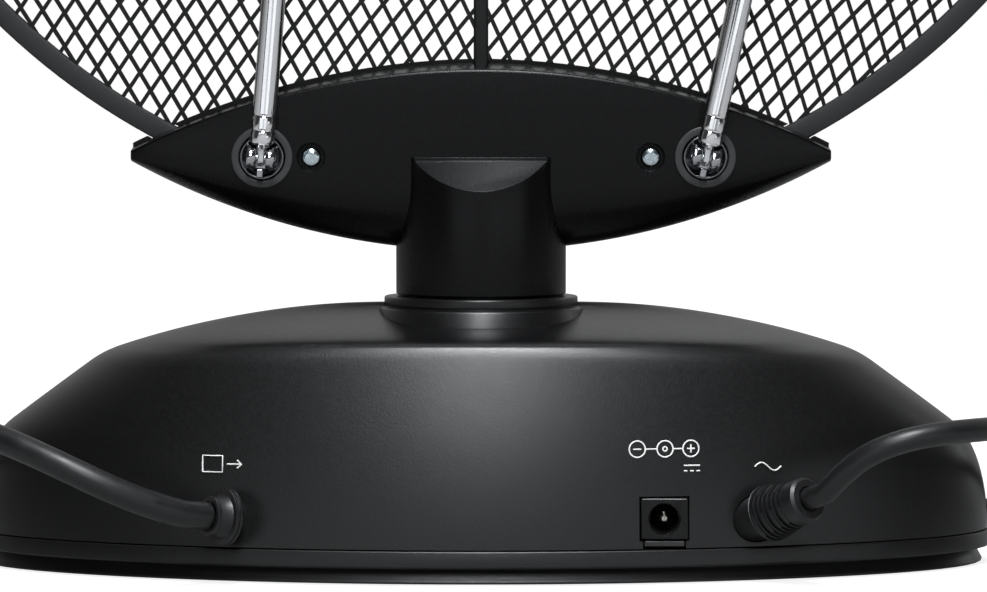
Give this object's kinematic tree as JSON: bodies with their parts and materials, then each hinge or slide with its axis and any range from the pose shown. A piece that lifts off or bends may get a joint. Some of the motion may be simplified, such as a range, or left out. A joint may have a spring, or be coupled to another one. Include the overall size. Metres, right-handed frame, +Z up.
{
  "type": "rabbit ears antenna",
  "caption": "Amplified indoor television aerial with telescopic rods and a round mesh reflector on a swivelling head over an oval base.",
  "frame": {"origin": "on the table under the middle of the base", "axes": "+Z up; the sockets and leads leave the rear face, towards -Y; +X to the right seen from the rear"},
  "size_m": [0.321, 0.2571, 0.4131],
  "materials": {
    "black_abs": "satin textured",
    "black_paint": "semi-gloss",
    "rim_grey": "matt",
    "rubber": "matt",
    "pvc_black": "satin",
    "chrome": "polished",
    "zinc": "plated",
    "brass": "plated",
    "copper": "enamelled wire",
    "core_steel": "rolled",
    "board_green": "solder mask",
    "lens_red": "clear tinted"
  },
  "bodies": {
    "base": {"base_housing": "black_abs", "base_plate": "black_abs", "foot_1": "rubber", "foot_2": "rubber", "foot_3": "rubber", "foot_4": "rubber", "plate_screw_1": "zinc", "plate_screw_2": "zinc", "dc_jack": "black_abs", "dc_jack_pin": "brass", "gain_control": "core_steel", "power_led": "lens_red", "transformer_core": "core_steel", "transformer_winding": "copper", "amplifier_board": "board_green", "feed_cable": "pvc_black", "coax_gland": "pvc_black", "mains_strain_relief": "pvc_black", "coax_lead": "pvc_black", "coax_coil": "pvc_black", "coax_tie": "rubber", "coax_plug": "pvc_black", "coax_plug_sleeve": "zinc", "coax_plug_pin": "brass", "mains_lead": "pvc_black", "mains_coil": "pvc_black", "mains_tie": "rubber", "mains_plug": "pvc_black", "mains_plug_pin_left": "brass", "mains_plug_pin_right": "brass"},
    "head": {"swivel_spigot": "black_abs", "swivel_retainer": "zinc", "head_rear_shell": "black_abs", "head_front_shell": "black_abs", "head_screw_left": "zinc", "head_screw_right": "zinc", "reflector_rim": "rim_grey", "reflector_mesh": "black_paint", "feeder_mast": "black_paint", "feed_hub": "black_abs", "uhf_dipole_left": "black_paint", "uhf_dipole_right": "black_paint"},
    "gain_knob": {"gain_knob": "black_abs", "gain_shaft": "zinc"},
    "left_fork": {"left_fork": "chrome", "left_pivot_pin": "zinc"},
    "left_rod": {"left_rod_lug": "chrome", "left_rod_section_1": "chrome"},
    "left_rod_2": {"left_rod_section_2": "chrome"},
    "left_rod_3": {"left_rod_section_3": "chrome"},
    "left_rod_4": {"left_rod_section_4": "chrome", "left_rod_tip": "chrome"},
    "right_fork": {"right_fork": "chrome", "right_pivot_pin": "zinc"},
    "right_rod": {"right_rod_lug": "chrome", "right_rod_section_1": "chrome"},
    "right_rod_2": {"right_rod_section_2": "chrome"},
    "right_rod_3": {"right_rod_section_3": "chrome"},
    "right_rod_4": {"right_rod_section_4": "chrome", "right_rod_tip": "chrome"}
  },
  "joints": [
    {"name": "head_swivel", "type": "hinge", "parent": "base", "child": "head", "pos_m": [0, 0, 0.062], "axis": [0, 0, 1], "range_deg": [-90, 90]},
    {"name": "gain_turn", "type": "hinge", "parent": "base", "child": "gain_knob", "pos_m": [0, 0.04428, 0.034], "axis": [0, 0.9767, 0.2147], "range_deg": [-140, 140]},
    {"name": "left_swivel", "type": "hinge", "parent": "head", "child": "left_fork", "pos_m": [-0.0502, 0, 0.0943], "axis": [0, 1, 0], "range_deg": [-80, 0]},
    {"name": "left_elbow", "type": "hinge", "parent": "left_fork", "child": "left_rod", "pos_m": [-0.0502, -0.0155, 0.0943], "axis": [0.9966, 0, -0.0819], "range_deg": [0, 90]},
    {"name": "left_slide_2", "type": "slide", "parent": "left_rod", "child": "left_rod_2", "axis": [0.0819, 0, 0.9966], "range_m": [-0.036, 0.125]},
    {"name": "left_slide_3", "type": "slide", "parent": "left_rod_2", "child": "left_rod_3", "axis": [0.0819, 0, 0.9966], "range_m": [-0.036, 0.125]},
    {"name": "left_slide_4", "type": "slide", "parent": "left_rod_3", "child": "left_rod_4", "axis": [0.0819, 0, 0.9966], "range_m": [-0.036, 0.125]},
    {"name": "right_swivel", "type": "hinge", "parent": "head", "child": "right_fork", "pos_m": [0.0515, 0, 0.0943], "axis": [0, 1, 0], "range_deg": [-15, 70]},
    {"name": "right_elbow", "type": "hinge", "parent": "right_fork", "child": "right_rod", "pos_m": [0.0515, -0.0155, 0.0943], "axis": [0.9785, 0, -0.2062], "range_deg": [0, 90]},
    {"name": "right_slide_2", "type": "slide", "parent": "right_rod", "child": "right_rod_2", "axis": [0.2062, 0, 0.9785], "range_m": [-0.036, 0.125]},
    {"name": "right_slide_3", "type": "slide", "parent": "right_rod_2", "child": "right_rod_3", "axis": [0.2062, 0, 0.9785], "range_m": [-0.036, 0.125]},
    {"name": "right_slide_4", "type": "slide", "parent": "right_rod_3", "child": "right_rod_4", "axis": [0.2062, 0, 0.9785], "range_m": [-0.036, 0.125]}
  ]
}
